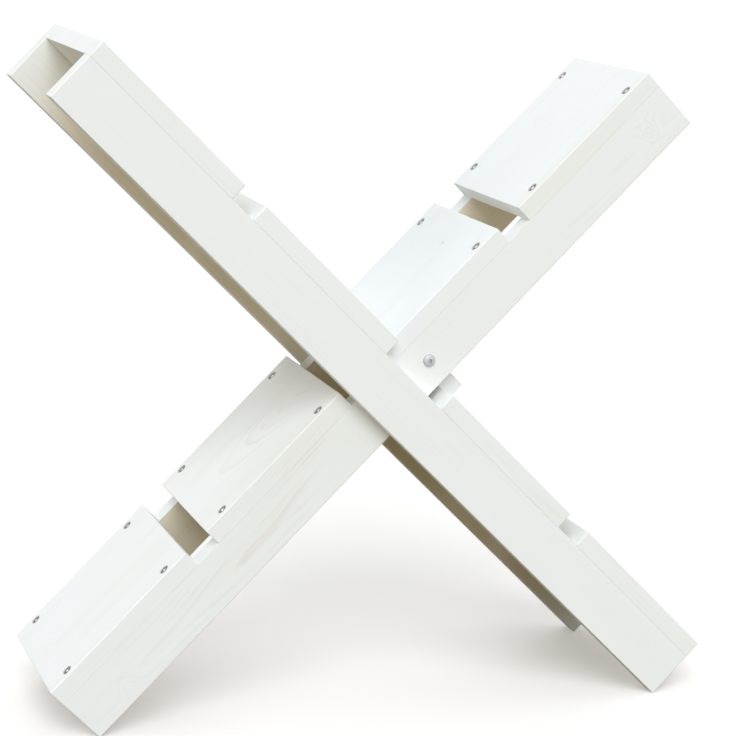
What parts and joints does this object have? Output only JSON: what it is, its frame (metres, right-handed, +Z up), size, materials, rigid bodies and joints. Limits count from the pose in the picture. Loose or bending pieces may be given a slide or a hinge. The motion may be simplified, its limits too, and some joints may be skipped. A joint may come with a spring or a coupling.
{
  "type": "kindling rack",
  "caption": "Open X-shaped rack of whitewashed pine boards that holds kindling or split logs in the V above its crossing beams.",
  "frame": {"origin": "middle of the footprint on the floor, under the lowest corners of the board ends", "axes": "+Z up, +Y through the depth from front to back, +X along the width, to the right as seen from the front"},
  "size_m": [1.0978, 0.35, 1.0848],
  "materials": {
    "whitewashed_pine": "planed softwood under a thin matt white wash",
    "zinc_steel": "dull zinc plate"
  },
  "bodies": {
    "root": {"outer_side_board_front": "whitewashed_pine", "outer_side_board_back": "whitewashed_pine", "outer_panel_1": "whitewashed_pine", "outer_panel_2": "whitewashed_pine", "outer_panel_3": "whitewashed_pine", "outer_panel_4": "whitewashed_pine", "inner_side_board_front": "whitewashed_pine", "inner_side_board_back": "whitewashed_pine", "inner_panel_1": "whitewashed_pine", "inner_panel_2": "whitewashed_pine", "inner_panel_3": "whitewashed_pine", "inner_panel_4": "whitewashed_pine", "stop_board": "whitewashed_pine", "outer_panel_1_screw_1": "zinc_steel", "outer_panel_1_screw_2": "zinc_steel", "outer_panel_1_screw_3": "zinc_steel", "outer_panel_1_screw_4": "zinc_steel", "outer_panel_2_screw_1": "zinc_steel", "outer_panel_2_screw_2": "zinc_steel", "outer_panel_2_screw_3": "zinc_steel", "outer_panel_2_screw_4": "zinc_steel", "outer_panel_3_screw_1": "zinc_steel", "outer_panel_3_screw_2": "zinc_steel", "outer_panel_3_screw_3": "zinc_steel", "outer_panel_3_screw_4": "zinc_steel", "outer_panel_4_screw_1": "zinc_steel", "outer_panel_4_screw_2": "zinc_steel", "outer_panel_4_screw_3": "zinc_steel", "outer_panel_4_screw_4": "zinc_steel", "inner_panel_1_screw_1": "zinc_steel", "inner_panel_1_screw_2": "zinc_steel", "inner_panel_1_screw_3": "zinc_steel", "inner_panel_1_screw_4": "zinc_steel", "inner_panel_2_screw_1": "zinc_steel", "inner_panel_2_screw_2": "zinc_steel", "inner_panel_2_screw_3": "zinc_steel", "inner_panel_2_screw_4": "zinc_steel", "inner_panel_3_screw_1": "zinc_steel", "inner_panel_3_screw_2": "zinc_steel", "inner_panel_3_screw_3": "zinc_steel", "inner_panel_3_screw_4": "zinc_steel", "inner_panel_4_screw_1": "zinc_steel", "inner_panel_4_screw_2": "zinc_steel", "inner_panel_4_screw_3": "zinc_steel", "inner_panel_4_screw_4": "zinc_steel", "stop_bolt_front": "zinc_steel", "stop_bolt_back": "zinc_steel"}
  },
  "joints": []
}
